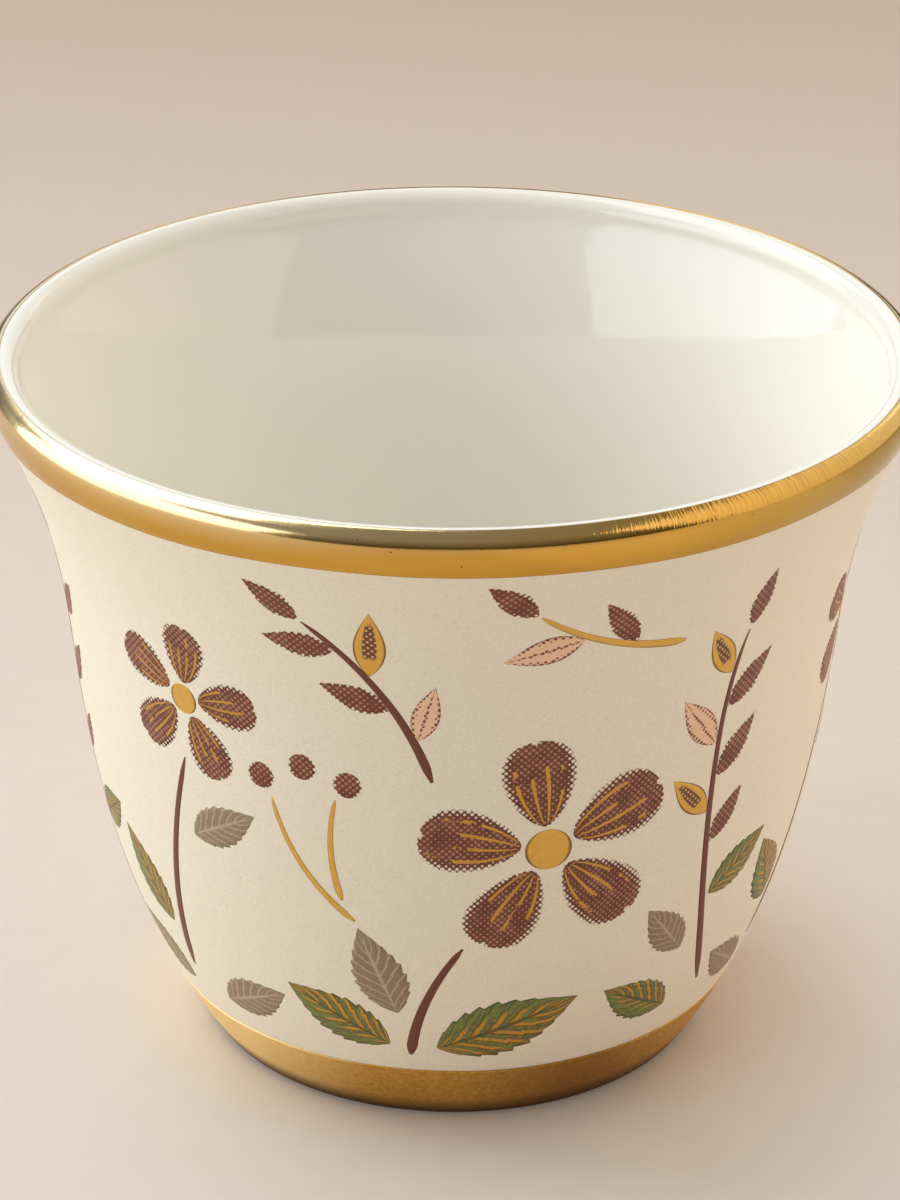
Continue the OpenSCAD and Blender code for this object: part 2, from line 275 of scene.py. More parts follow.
# Satin glaze: a soft sheen with no clear highlight, and a sandy grain that shows close up
satin_glaze, add = material("cream satin glaze")
spot = add("TexCoord", out="Object")
mottle = add("TexNoise", {"Vector": spot, "Scale": 1 / (0.1923 * MM), "Detail": 2.0, "Roughness": 0.7})
tone = add("Mix", {0: mottle, 6: linear("#E7DAC0"), 7: linear("#FFF5E3")}, 2, data_type="RGBA")
# Speckle: dots of about 0.13 mm, one in a cell of 0.3 mm, and only in some cells
cells = add("TexVoronoi", {"Vector": spot, "Scale": 1 / (0.303 * MM), "Randomness": 1.0}, "Distance")
dots = add("MapRange", [cells, 0.16, 0.26, 1.0, 0.0])
patches = add("TexNoise", {"Vector": spot, "Scale": 1 / (1.11 * MM), "Detail": 1.0})
chosen = add("MapRange", [patches, 0.36, 0.6, 0.0, 0.24])
speckle = add("Math", [dots, chosen], operation="MULTIPLY")
speckled = add("Mix", {0: speckle, 6: tone, 7: linear("#B7A98E")}, 2, data_type="RGBA")
relief = add("Bump", {"Height": mottle, "Strength": 0.10, "Distance": 0.08 * MM})
shader = add("BsdfPrincipled", {"Base Color": speckled, "Roughness": 0.42, "IOR": 1.5, "Normal": relief})
add("OutputMaterial", [shader], None)
outer_glaze.data.materials.append(satin_glaze)
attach(outer_glaze, "root")
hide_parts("outer_glaze")


# Base glaze
# The recess under the base has the same clear glaze, wiped off the ring. Its solid is right as it
# is, and only takes the glaze.
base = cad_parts["base_glaze"]
base.data.materials.clear()
base.data.materials.append(clear_glaze)


# Gilding
# Bright gold, brushed on a turntable over the glaze and fired: one band on the outside of the lip
# and one on the foot. It mirrors like metal, with fine ripples along the brush and a few pin holes,
# and its edges waver a little where the brush was put down and lifted.
RIM_BAND_DROP, FOOT_BAND_H = 3.3, 5.5
# The gold reaches this far into the glaze under it
TUCK = 0.01
# Size of the waver, and the share of the band's width at which it sets in
WAVER, WAVER_FROM = 0.12, 0.6


def hand(angle, seed):
    """Slow waver of a hand-banded edge round the cup, from -1 to 1."""
    return (0.5 * np.sin(2 * angle + seed) + 0.3 * np.sin(5 * angle + 2.1 * seed)
            + 0.2 * np.sin(11 * angle + 3.7 * seed))


def band(name, faces, free_end, seed):
    """Closed gold band from its outer face and its face on the glaze; one end of it wavers."""
    outside, under = faces
    steps = len(outside)

    def wave(i, angle):
        along = min(i, 2 * steps - 1 - i) / (steps - 1)
        share = 1 - along if free_end == "low" else along
        return WAVER * hand(angle, seed) * max(0.0, share - WAVER_FROM) / (1 - WAVER_FROM)
    return lathe(name, np.vstack([outside, under[::-1]]), wave=wave)


rim_faces = [np.vstack([skin_between(off, CUP_H - RIM_BAND_DROP, LIP_H - SHY, 40),
                        lip_arc(LIP_R + off, 0, CREST, 24)]) for off in (GOLD, -TUCK)]
foot_faces = [skin_between(off, DRY_EDGE, FOOT_BAND_H, 30) for off in (GOLD, -TUCK)]
rim_gilding = band("rim_gold_band", rim_faces, "low", 1.3)
foot_gilding = band("foot_gold_band", foot_faces, "high", 4.2)

# Bright gold: a warm mirror, polished on the lip and half matt on the foot
bright_gold, add = material("fired bright gold")
spot = add("TexCoord", out="Object")
x, y, z = add("SeparateXYZ", [spot], None)
around = add("Math", [x, y], operation="ARCTAN2")
# 1 on the lip and 0 on the foot, whose gold is thinner, browner and less polished
lip = add("MapRange", [z, 20 * MM, 30 * MM])
# Brush ripples about 0.18 mm wide stand across the band, strongest on the round of the lip
comb_spot = add("Mapping", {"Vector": add("CombineXYZ", {0: around, 2: z}),
                            "Scale": (RIM_R / 0.179, 1.0, 1 / (16.7 * MM))})
comb = add("TexNoise", {"Vector": comb_spot, "Scale": 1.0, "Detail": 1.0})
upper = add("MapRange", [z, (CUP_H - 1.8) * MM, (CUP_H - 0.3) * MM, 0.12, 1.0])
comb = add("Math", [comb, upper], operation="MULTIPLY")
# The comb stands out at the right of the front, where the highlight lies, and fades both ways
LIFTED_AT = 2.43
from_lift = add("Math", [add("Math", [around, LIFTED_AT], operation="SUBTRACT")], operation="ABSOLUTE")
lifted = add("MapRange", [from_lift, 0.25, 0.52, 1.0, 0.1])
comb = add("Math", [comb, lifted], operation="MULTIPLY")
fine = add("TexNoise", {"Vector": spot, "Scale": 1 / (1.43 * MM), "Detail": 2.0})
wide = add("TexNoise", {"Vector": spot, "Scale": 1 / (9.1 * MM), "Detail": 1.0})
height = add("Math", [fine, 0.5, comb], operation="MULTIPLY_ADD")
swell = add("Bump", {"Height": wide, "Strength": 0.2, "Distance": 0.4 * MM})
relief = add("Bump", {"Height": height, "Strength": 0.34, "Distance": 0.1 * MM, "Normal": swell})
polish = add("MapRange", [lip, 0.0, 1.0, 0.42, 0.05])
wear = add("Math", [fine, 0.12, polish], operation="MULTIPLY_ADD")
bright = add("Mix", {0: wide, 6: linear("#CC9939"), 7: linear("#DAAB50")}, 2, data_type="RGBA")
# Toward the right the lip's gold is drawn greener and paler: a painted change to its reflection of the warm
# card there
right_reflection_tint = add("MapRange", [x, 14 * MM, 30 * MM])
bright = add("Mix", {0: right_reflection_tint, 6: bright, 7: linear("#BD9D4F")}, 2, data_type="RGBA")
grain = add("TexNoise", {"Vector": spot, "Scale": 1 / (0.3846 * MM), "Detail": 2.0})
grain = add("MapRange", [grain, 0.34, 0.66])
brown = add("Mix", {0: grain, 6: linear("#C99941"), 7: linear("#DEB059")}, 2, data_type="RGBA")
# The foot's gold is painted pale at the left, a painted reflection of the lit paper there, and painted
# darker right of the front, a painted reflection of the cup's shadow on the paper
pale = add("MapRange", [x, -6 * MM, -15 * MM])
brown = add("Mix", {0: pale, 6: brown, 7: linear("#FFE2A0")}, 2, data_type="RGBA")
# Painted darker right of the front: the painted reflection of the shadowed paper
painted_shadow_reflection = add("Math", [add("MapRange", [x, 1 * MM, 8 * MM, 0.0, 0.6]),
                     add("MapRange", [x, 16 * MM, 11 * MM])], operation="MULTIPLY")
brown = add("Mix", {0: painted_shadow_reflection, 6: brown, 7: linear("#8A5A1C")}, 2, data_type="RGBA")
tint = add("Mix", {0: lip, 6: brown, 7: bright}, 2, data_type="RGBA")
# The foot's gold is painted dark brown towards its lower edge at the bare ring: a painted contact shade
low = add("MapRange", [z, 0.2 * MM, 1.8 * MM])
tint = add("Mix", {0: low, 6: linear("#6E481C"), 7: tint}, 2, data_type="RGBA")
# The gold runs out thin over the crest, and the white glaze pales it there; the paling is made strongest at
# the left, where it is a painted highlight
left = add("MapRange", [x, -4 * MM, 16 * MM, 1.0, 0.1])
thin_gold_and_highlight = add("Math", [add("MapRange", [z, (CUP_H - 0.9) * MM, CUP_H * MM]), left], operation="MULTIPLY")
tint = add("Mix", {0: thin_gold_and_highlight, 6: tint, 7: linear("#D8B874")}, 2, data_type="RGBA")
# At the far left the thin gold is hazy as well, and its upper band is painted paler there: a painted
# highlight
haze_and_painted_highlight = add("Math", [add("MapRange", [x, -4 * MM, -15 * MM]),
                    add("MapRange", [z, (CUP_H - 2.5) * MM, (CUP_H - 0.4) * MM])], operation="MULTIPLY")
tint = add("Mix", {0: haze_and_painted_highlight, 6: tint, 7: linear("#E4C890")}, 2, data_type="RGBA")
wear = add("Math", [haze_and_painted_highlight, 0.13, wear], operation="MULTIPLY_ADD")
# The ripples are also painted as darker lines in the colour: painted shade of the ripples in the highlight
painted_ripple_shade = add("MapRange", [comb, 0.38, 0.62, 0.0, 0.36])
tint = add("Mix", {0: painted_ripple_shade, 6: tint, 7: linear("#96681F")}, 2, data_type="RGBA")
# Pin holes about 0.15 mm wide, one in a cell of 2.4 mm, where the gold drew back in the kiln
holes = add("TexVoronoi", {"Vector": spot, "Scale": 1 / (2.38 * MM), "Randomness": 1.0}, "Distance")
hole = add("MapRange", [holes, 0.02, 0.045, 0.9, 0.0])
tint = add("Mix", {0: hole, 6: tint, 7: linear("#5B3B17")}, 2, data_type="RGBA")
# A film of the gold's glassy flux lies over the thin crest and gives it a white highlight
flux = add("MapRange", [z, (CUP_H - 1.6) * MM, (CUP_H - 0.4) * MM, 0.0, 0.9])
flux = add("Math", [flux, left], operation="MULTIPLY")
shader = add("BsdfPrincipled", {"Base Color": tint, "Metallic": 1.0, "Roughness": wear, "Normal": relief,
                                "Coat Weight": flux, "Coat Roughness": 0.05, "Coat IOR": 2.2})
add("OutputMaterial", [shader], None)
for piece, node in ((rim_gilding, "rim_gilding"), (foot_gilding, "foot_gilding")):
    piece.data.materials.append(bright_gold)
    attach(piece, "root")
    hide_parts(node)


# Print: shapes and wall
# The print is a water-slide transfer: blossoms, leaves, buds and stems screen-printed in five
# enamels, cut to wrap the cup, and fired on. Each shape is a skin of enamel on the glaze.
PRINT_GAP = 0.8
PRINT_LOW = FOOT_BAND_H + PRINT_GAP
PRINT_H = CUP_H - RIM_BAND_DROP - PRINT_GAP - PRINT_LOW
REPEATS = 3
REPEAT = 2 * math.pi / REPEATS
# The skin stands this far off the glaze and reaches this far into it
ENAMEL, ENAMEL_ROOT = 0.018, 0.02
PETAL_L, PETAL_W, CENTRE_D, MOTIF_GAP = 7.2, 6.6, 3.4, 0.3
LEAF_L, LEAF_W, LEAF_GAP, LEAF_TEETH = 12.5, 6.4, 1.4, 9
BUD_L, BUD_W, BERRY_D, STEM_W = 5.6, 2.3, 2.1, 0.7
# Depth of a leaf's teeth and of a petal's notch, and how much a stem tapers, as shares
TOOTH_DEPTH, NOTCH_DEPTH, STEM_TAPER = 0.16, 0.07, 0.45
# Mean radius of the printed wall, on which the sheet's millimetres are measured
SHEET_R = 28.0


def turned(p, degrees):
    c, s = math.cos(math.radians(degrees)), math.sin(math.radians(degrees))
    return np.stack([c * p[:, 0] - s * p[:, 1], s * p[:, 0] + c * p[:, 1]], 1)


def grid(across, along):
    """Rows of (u, v), with u from -1 to 1 across a shape and v from 0 at its foot to 1 at its end."""
    u, v = np.meshgrid(np.linspace(-1, 1, across), np.linspace(0, 1, along))
    return u.ravel(), v.ravel(), across, along


def leaf_shape(length, width, teeth):
    """A leaf whose edge is a saw of so many teeth, or a bud when it has none."""
    u, v, across, along = grid(9, 57 if teeth else 21)
    half = width / 2 * np.sin(math.pi * np.clip(v, 0.004, 0.996) ** 0.8)
    if teeth:
        saw = 1 - (v * teeth) % 1.0
        half = half * (1 - TOOTH_DEPTH * saw * np.clip(np.sin(math.pi * v), 0, 1) ** 0.5)
    return np.stack([u * half, v * length], 1), u, v, across, along


def petal_shape(length, width):
    """A petal, broadest past its middle, with a shallow notch in its end."""
    u, v, across, along = grid(13, 17)
    t = np.clip(v, 0.01, 0.985)
    half = width / 2 * 1.16 * np.sin(math.pi * t) * (0.35 + 0.65 * t)
    notch = NOTCH_DEPTH * length * (1 - np.abs(u)) ** 1.3 * t ** 8
    return np.stack([u * half, length * (1 - np.cos(math.pi * t)) / 2 - notch], 1), u, v, across, along


def round_shape(width):
    u, v, across, along = grid(9, 13)
    a = math.pi * np.clip(v, 0.01, 0.99)
    return width / 2 * np.stack([u * np.sin(a), -np.cos(a)], 1), u, v, across, along


def arc_place(length, curl, t):
    """Place at a share t of an arc that turns by curl degrees, from the arc's middle."""
    a = np.radians(curl * (np.asarray(t, float) - 0.5))
    return length * 180 / (math.pi * curl) * np.stack([np.cos(a) - 1, np.sin(a)], -1)


def stem_shape(length, curl, width):
    """A stem along an arc, thinner towards its tip, with rounded ends."""
    u, v, across, along = grid(5, 41)
    a = np.radians(curl * (v - 0.5))
    ends = np.sqrt(np.clip(12 * np.minimum(v, 1 - v), 0.1, 1))
    side = (u * width / 2 * (1 - STEM_TAPER * v) * ends)[:, None]
    return arc_place(length, curl, v) + side * np.stack([np.cos(a), np.sin(a)], 1), u, v, across, along


class Enamel:
    """Gathers the shapes of one colour of enamel, and lays them on the wall as closed skins."""

    def __init__(self):
        self.points, self.faces, self.motif, self.sheet, self.tone, self.kind = [], [], [], [], [], []
        self.draw = np.random.default_rng(7)

    def lay(self, shape, place, turn=0.0, move=(0.0, 0.0), kind=0.0):
        p, u, v, across, along = shape
        p = turned(p + np.asarray(move), turn)
        height = PRINT_LOW + PRINT_H * place[1] + p[:, 1]
        angle = REPEAT * place[0] + np.arcsin(np.clip(p[:, 0] / skin_at(height)[0], -1, 1))
        # The skin thins to half over the outer 15 per cent of a shape
        edge = np.maximum(np.abs(u), np.abs(2 * v - 1))
        top = ENAMEL * (1 - 0.5 * np.clip((edge - 0.85) / 0.15, 0, 1))
        tone = self.draw.random()
        first, half = len(self.points), across * along
        for off in (top, np.full_like(top, -ENAMEL_ROOT)):
            radius, z = skin_at(height, off)
            self.points += np.stack([radius * np.sin(angle), -radius * np.cos(angle), z], 1).tolist()
            self.motif += np.stack([(u + 1) / 2, v], 1).tolist()
            self.sheet += np.stack([angle * SHEET_R, height], 1).tolist()
            self.tone += [tone] * half
            self.kind += [kind] * half

        def at(i, j):
            return first + j * across + i
        for j in range(along - 1):
            for i in range(across - 1):
                corners = (at(i, j), at(i + 1, j), at(i + 1, j + 1), at(i, j + 1))
                self.faces.append(corners)
                self.faces.append(tuple(half + corner for corner in corners[::-1]))
        rim = ([(i, 0) for i in range(across)] + [(across - 1, j) for j in range(1, along)]
               + [(i, along - 1) for i in range(across - 2, -1, -1)]
               + [(0, j) for j in range(along - 2, 0, -1)])
        for here, there in zip(rim, rim[1:] + rim[:1]):
            self.faces.append((at(*there), at(*here), half + at(*here), half + at(*there)))

    def build(self, name):
        mesh = bpy.data.meshes.new(name)
        mesh.from_pydata((np.array(self.points) * MM).tolist(), [], self.faces)
        loops = np.zeros(len(mesh.loops), int)
        mesh.loops.foreach_get("vertex_index", loops)
        for label, rows in (("motif", self.motif), ("sheet", self.sheet)):
            layer = mesh.uv_layers.new(name=label)
            layer.data.foreach_set("uv", np.array(rows)[loops].ravel())
        for label, values in (("tone", self.tone), ("kind", self.kind)):
            mesh.attributes.new(label, "FLOAT", "POINT").data.foreach_set("value", np.array(values))
        for face in mesh.polygons:
            face.use_smooth = True
        piece = bpy.data.objects.new(name, mesh)
        bpy.context.collection.objects.link(piece)
        return piece


# One repeat of the print is drawn once, and this tree sets it round the cup as often as it repeats
repeat_tree = bpy.data.node_groups.new("repeat the print round the cup", "GeometryNodeTree")
for label, way, kind in (("Print", "INPUT", "Geometry"), ("Repeats", "INPUT", "Int"),
                         ("Enamel", "INPUT", "Material"), ("Print", "OUTPUT", "Geometry")):
    repeat_tree.interface.new_socket(label, in_out=way, socket_type="NodeSocket" + kind)
add = node_adder(repeat_tree, "")
given = add("NodeGroupInput", out=None)
spots = add("GeometryNodePoints", {"Count": given["Repeats"], "Position": (0, 0, 0)})
step = add("ShaderNodeMath", [2 * math.pi, given["Repeats"]], operation="DIVIDE")
angle = add("ShaderNodeMath", [add("GeometryNodeInputIndex"), step], operation="MULTIPLY")
copies = add("GeometryNodeInstanceOnPoints", {"Points": spots, "Instance": given["Print"],
                                              "Rotation": add("ShaderNodeCombineXYZ", {2: angle})})
solid = add("GeometryNodeRealizeInstances", {"Geometry": copies})
inked = add("GeometryNodeSetMaterial", {"Geometry": solid, "Material": given["Enamel"]})
add("NodeGroupOutput", [inked], None)


def fire(enamel, name, made, node):
    """Builds one colour, repeats it round the cup as a plain mesh, and sets it in the frame."""
    drawn = enamel.build(name + "_drawn")
    step = drawn.modifiers.new("repeat", "NODES")
    step.node_group = repeat_tree
    values = {"Repeats": REPEATS, "Enamel": made}
    for item in repeat_tree.interface.items_tree:
        if item.in_out == "INPUT" and item.name in values:
            step[item.identifier] = values[item.name]
    drawn.data.materials.append(made)
    view_layer = bpy.context.evaluated_depsgraph_get()
    mesh = bpy.data.meshes.new_from_object(drawn.evaluated_get(view_layer))
    drawn.modifiers.remove(step)
    piece = bpy.data.objects.new(name, mesh)
    bpy.context.collection.objects.link(piece)
    bpy.data.objects.remove(drawn)
    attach(piece, "root")
    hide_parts(node)


# What a shape is, for the shaders: a plain leaf, stem or blossom centre, a bud or berry, or a petal
BUD, PETAL = 0.5, 1.0
# A place on the print is a share of one repeat's width, from its middle, and of the print's height.
# Blossoms: place, size as a share of the full one, and turn
BLOSSOMS = [((0.115, 0.47), 1.0, 8), ((-0.34, 0.68), 0.7, -10)]
# Sprays: place, turn, length as a share of the print's height, curl, where the buds start, and the
# colours of the buds and of the stem by their first letter
SPRAYS = [
    ((0.34, 0.44), 4, 0.74, -34, 0.44, "mgmpmgm", "m"),
    ((-0.08, 0.77), 34, 0.36, 36, 0.2, "pmgmm", "m"),
    ((0.17, 0.86), 70, 0.28, -34, 0.3, "mpm", "g")]


def lay_sprays(enamel, colour):
    for place, turn, length, curl, start, buds, stem in SPRAYS:
        if stem == colour:
            enamel.lay(stem_shape(PRINT_H * length, curl, STEM_W), place, turn)
        last = len(buds) - 1
        for i, bud in enumerate(buds):
            if bud != colour:
                continue
            tip = i == last
            t = 1.0 if tip else start + (0.97 - start) * i / last
            side = 0 if tip else (1 if i % 2 else -1)
            size = 1 - 0.15 * abs(2 * i / last - 1)
            p, *rest = leaf_shape(BUD_L * size, BUD_W * size, 0)
            p = turned(p + [0, MOTIF_GAP if tip else STEM_W * 0.7], curl * (t - 0.5) + 40 * side)
            enamel.lay([p, *rest], place, turn, arc_place(PRINT_H * length, curl, t), BUD)


def lay_leaves(enamel, table):
    """Leaves by place, turn, size and gap, each as a share of the full leaf."""
    for place, turn, size, gap in table:
        enamel.lay(leaf_shape(LEAF_L * size, LEAF_W * size, LEAF_TEETH), place, turn, (0, LEAF_GAP * gap))


def lay_stems(enamel, table):
    """Stems by place, turn, length as a share of the print's height, curl and width."""
    for place, turn, length, curl, width in table:
        enamel.lay(stem_shape(PRINT_H * length, curl, STEM_W * width), place, turn)


# Print: maroon
# Maroon enamel prints the petals, most buds, the berries and the stems. It is screened with a fine
# dot, so its edges are dotted and lighter dots show where the colour thins.
maroon = Enamel()
for place, size, turn in BLOSSOMS:
    for k in range(5):
        maroon.lay(petal_shape(PETAL_L * size, PETAL_W * size), place, turn + 72 * k,
                   (0, (CENTRE_D / 2 + MOTIF_GAP) * size), PETAL)
lay_stems(maroon, [((-0.037, 0.155), -20, 0.272, -30, 1.2), ((-0.402, 0.33), -14, 0.49, -12, 1.1)])
lay_sprays(maroon, "m")
for place in ((-0.235, 0.58), (-0.18, 0.612), (-0.125, 0.59)):
    maroon.lay(round_shape(BERRY_D), place, kind=BUD)


def screen(add, sheet, pitch):
    """Height, 0 to 1, of a screen printer's dots, pitch mm apart on the sheet turned 45 degrees."""
    turned_sheet = add("Mapping", {"Vector": sheet, "Rotation": (0, 0, math.pi / 4),
                                   "Scale": (math.pi / pitch, math.pi / pitch, 1)})
    x, y, _ = add("SeparateXYZ", [turned_sheet], None)
    waves = [add("Math", [way], operation="SINE") for way in (x, y)]
    both = add("Math", waves, operation="MULTIPLY")
    return add("Math", [both], operation="ABSOLUTE")


def across_and_along(add):
    """Way across a motif, -1 to 1, its distance from the middle line, and the share of its length."""
    share, along, _ = add("SeparateXYZ", [add("UVMap", uv_map="motif")], None)
    signed = add("Math", [share, 2.0, -1.0], operation="MULTIPLY_ADD")
    return signed, add("Math", [signed], operation="ABSOLUTE"), along


# Maroon enamel: half gloss and flat, lighter in open dots, with gold strokes that catch the light.
# The sheet's UV map is in millimetres, and so are the scales of what is laid out on it.
maroon_enamel, add = material("screen-printed maroon enamel")
sheet = add("UVMap", uv_map="sheet")
# Dots every 0.36 mm, a little coarser than the real screen so that they show
dot = screen(add, sheet, 0.36)
signed, across, along = across_and_along(add)
kind = add("Attribute", out="Fac", attribute_name="kind")
is_petal, is_bud = add("MapRange", [kind, 0.7, 0.8]), add("MapRange", [kind, 0.2, 0.3])
blot = add("TexNoise", {"Vector": sheet, "Scale": 1 / 1.43, "Detail": 3.0})
grain = add("TexNoise", {"Vector": sheet, "Scale": 1 / 0.1667, "Detail": 2.0})
# The colour thins to open dots in patches, most on the broad end of a petal
opening = add("Math", [along, 0.5, add("MapRange", [blot, 0.36, 0.64])], operation="MULTIPLY_ADD")
threshold = add("MapRange", [opening, 0.2, 1.1, 0.86, 0.42])
gap = add("Math", [add("Math", [dot, threshold], operation="GREATER_THAN"), is_bud], operation="MULTIPLY")
shade = add("Mix", {0: grain, 6: linear("#5A2413"), 7: linear("#80402A")}, 2, data_type="RGBA")
lightness = add("Math", [gap, 0.62], operation="MULTIPLY")
inked = add("Mix", {0: lightness, 6: shade, 7: linear("#C89070")}, 2, data_type="RGBA")
# Rows of scales drawn in a darker line, six up a petal, each an arch across it
arch = add("Math", [add("Math", [signed, 9.0], operation="MULTIPLY")], operation="SINE")
arch = add("Math", [add("Math", [arch], operation="ABSOLUTE"), -0.45], operation="MULTIPLY")
rows = add("Math", [add("Math", [along, 6.0, arch], operation="MULTIPLY_ADD")], operation="FRACT")
drawn = add("Math", [add("MapRange", [rows, 0.14, 0.06, 0.0, 0.6]), is_petal], operation="MULTIPLY")
inked = add("Mix", {0: drawn, 6: inked, 7: linear("#381613")}, 2, data_type="RGBA")
# Gold strokes run up each petal from its foot, wide in the middle one, and end ragged
wobble = add("Math", [grain, 0.10, -0.05], operation="MULTIPLY_ADD")
side = add("Math", [add("Math", [signed, 2.35, wobble], operation="MULTIPLY_ADD")], operation="FRACT")
side = add("Math", [add("Math", [side, 0.5], operation="SUBTRACT")], operation="ABSOLUTE")
reach = add("MapRange", [blot, 0.3, 0.7, 0.35, 0.8])
stroke = add("MapRange", [side, 0.13, 0.11])
for limit in (add("Math", [reach, along], operation="GREATER_THAN"),
              add("Math", [along, 0.12], operation="GREATER_THAN"),
              add("Math", [across, 0.8], operation="LESS_THAN"), is_petal):
    stroke = add("Math", [stroke, limit], operation="MULTIPLY")
inked = add("Mix", {0: stroke, 6: inked, 7: linear("#CF9A3C")}, 2, data_type="RGBA")
# The edge of a bud or petal breaks into the dots of the screen
ends = add("Math", [add("Math", [along, 2.0, -1.0], operation="MULTIPLY_ADD")], operation="ABSOLUTE")
frayed = add("Math", [add("MapRange", [across, 0.74, 0.98, 0.0, 0.9]),
                      add("MapRange", [ends, 0.86, 0.98, 0.0, 0.9])], operation="MAXIMUM")
frayed = add("Math", [frayed, is_bud], operation="MULTIPLY")
cover = add("Math", [add("Math", [1.0, dot], operation="SUBTRACT"), frayed], operation="GREATER_THAN")
height = add("Math", [gap, grain], operation="ADD")
relief = add("Bump", {"Height": height, "Strength": 0.2, "Distance": 0.03 * MM}, invert=True)
shader = add("BsdfPrincipled", {
    "Base Color": inked, "Metallic": add("Math", [stroke, 0.6], operation="MULTIPLY"),
    "Roughness": add("MapRange", [stroke, 0.0, 1.0, 0.42, 0.36]), "IOR": 1.5, "Alpha": cover,
    "Normal": relief})
add("OutputMaterial", [shader], None)
fire(maroon, "maroon_print", maroon_enamel, "maroon_enamel")


# Print: green leaves
# Moss green enamel with darker side veins and midrib, and gold streaks laid between the veins.
# It is printed and fired with the rest of the transfer.
green = Enamel()
lay_leaves(green, [((-0.07, 0.03), 58, 0.7, 1), ((-0.05, 0.03), -66, 0.88, 1),
                   ((-0.44, 0.15), 30, 0.64, 1), ((0.37, 0.04), 60, 0.6, 1),
                   ((0.33, 0.26), -58, 0.54, 1.7)])


def leaf_veins(add, count, lean, width):
    """Midrib and side veins that run up to the edge, and where a place lies between two of these."""
    signed, across, along = across_and_along(add)
    climb = add("Math", [across, -lean], operation="MULTIPLY")
    between = add("Math", [add("Math", [along, count, climb], operation="MULTIPLY_ADD")], operation="FRACT")
    off = add("Math", [add("Math", [between, 0.5], operation="SUBTRACT")], operation="ABSOLUTE")
    veins = add("Math", [add("MapRange", [off, width, width * 0.35]),
                         add("MapRange", [across, 0.10, 0.04])], operation="MAXIMUM")
    return veins, between, signed, across


# Moss green enamel: half gloss, mottled, with broken brown strokes and gold that catches the light
green_enamel, add = material("screen-printed moss green enamel")
veins, between, signed, across = leaf_veins(add, 7.0, 2.2, 0.13)
sheet = add("UVMap", uv_map="sheet")
tone = add("Attribute", out="Fac", attribute_name="tone")
blot = add("TexNoise", {"Vector": sheet, "Scale": 1 / 2.0, "Detail": 3.0})
grain = add("TexNoise", {"Vector": sheet, "Scale": 1 / 0.333, "Detail": 4.0})
inked = add("Mix", {0: grain, 6: linear("#5C6A28"), 7: linear("#8A943E")}, 2, data_type="RGBA")
# Brown-grey strokes beside the veins, with broken edges
broken = add("Math", [add("Math", [grain, 0.5], operation="SUBTRACT"), 0.9, between],
             operation="MULTIPLY_ADD")
brown = add("Math", [add("MapRange", [broken, 0.3, 0.24, 0.0, 0.85]),
                     add("MapRange", [blot, 0.42, 0.5])], operation="MULTIPLY")
inked = add("Mix", {0: brown, 6: inked, 7: linear("#6B5840")}, 2, data_type="RGBA")
# Gold fills what is left between the strokes, on some leaves nearly all of it
fill_from = add("MapRange", [tone, 0.2, 0.8, 0.62, 0.4])
gilt = add("MapRange", [add("Math", [broken, fill_from], operation="SUBTRACT"), 0.0, 0.03])
for limit in (add("MapRange", [broken, 0.97, 0.93]), add("MapRange", [signed, -0.55, -0.4])):
    gilt = add("Math", [gilt, limit], operation="MULTIPLY")
inked = add("Mix", {0: gilt, 6: inked, 7: linear("#CF9A3C")}, 2, data_type="RGBA")
dark = add("Math", [veins, add("MapRange", [across, 0.9, 0.97])], operation="MAXIMUM")
dark = add("Math", [dark, 0.75], operation="MULTIPLY")
inked = add("Mix", {0: dark, 6: inked, 7: linear("#3A3F20")}, 2, data_type="RGBA")
height = add("Math", [veins, grain], operation="ADD")
relief = add("Bump", {"Height": height, "Strength": 0.3, "Distance": 0.04 * MM})
shader = add("BsdfPrincipled", {
    "Base Color": inked, "Metallic": add("Math", [gilt, 0.6], operation="MULTIPLY"), "Roughness": 0.4,
    "IOR": 1.5, "Normal": relief})
add("OutputMaterial", [shader], None)
fire(green, "green_print", green_enamel, "green_enamel")


# Print: grey-brown leaves
# A grey-brown enamel laid thick enough to feel: its veins stand up and its surface is grainy.
# It is printed and fired with the rest of the transfer.
taupe = Enamel()
lay_leaves(taupe, [((-0.065, 0.08), 18, 0.66, 1.5), ((-0.44, 0.03), 58, 0.56, 1),
                   ((-0.41, 0.03), -64, 0.58, 1.2), ((-0.37, 0.4), -60, 0.54, 0.9),
                   ((0.35, 0.17), 40, 0.5, 0.8)])
# Grey-brown enamel: duller than the others, with pale veins in relief
taupe_enamel, add = material("screen-printed grey-brown enamel")
veins = leaf_veins(add, 8.0, 2.0, 0.16)[0]
grain = add("TexNoise", {"Vector": add("UVMap", uv_map="sheet"), "Scale": 1 / 0.2, "Detail": 3.0})
inked = add("Mix", {0: grain, 6: linear("#755E45"), 7: linear("#AF9576")}, 2, data_type="RGBA")
pale = add("Math", [veins, 0.6], operation="MULTIPLY")
inked = add("Mix", {0: pale, 6: inked, 7: linear("#CDBB9C")}, 2, data_type="RGBA")
height = add("Math", [veins, grain], operation="ADD")
relief = add("Bump", {"Height": height, "Strength": 0.5, "Distance": 0.06 * MM})
shader = add("BsdfPrincipled", {"Base Color": inked, "Roughness": 0.5, "IOR": 1.5, "Normal": relief})
add("OutputMaterial", [shader], None)
fire(taupe, "taupe_print", taupe_enamel, "taupe_enamel")


# Print: peach buds
# Peach enamel with a dotted maroon rim and midrib screened over it.
# It is printed and fired with the rest of the transfer.
peach = Enamel()
lay_sprays(peach, "p")
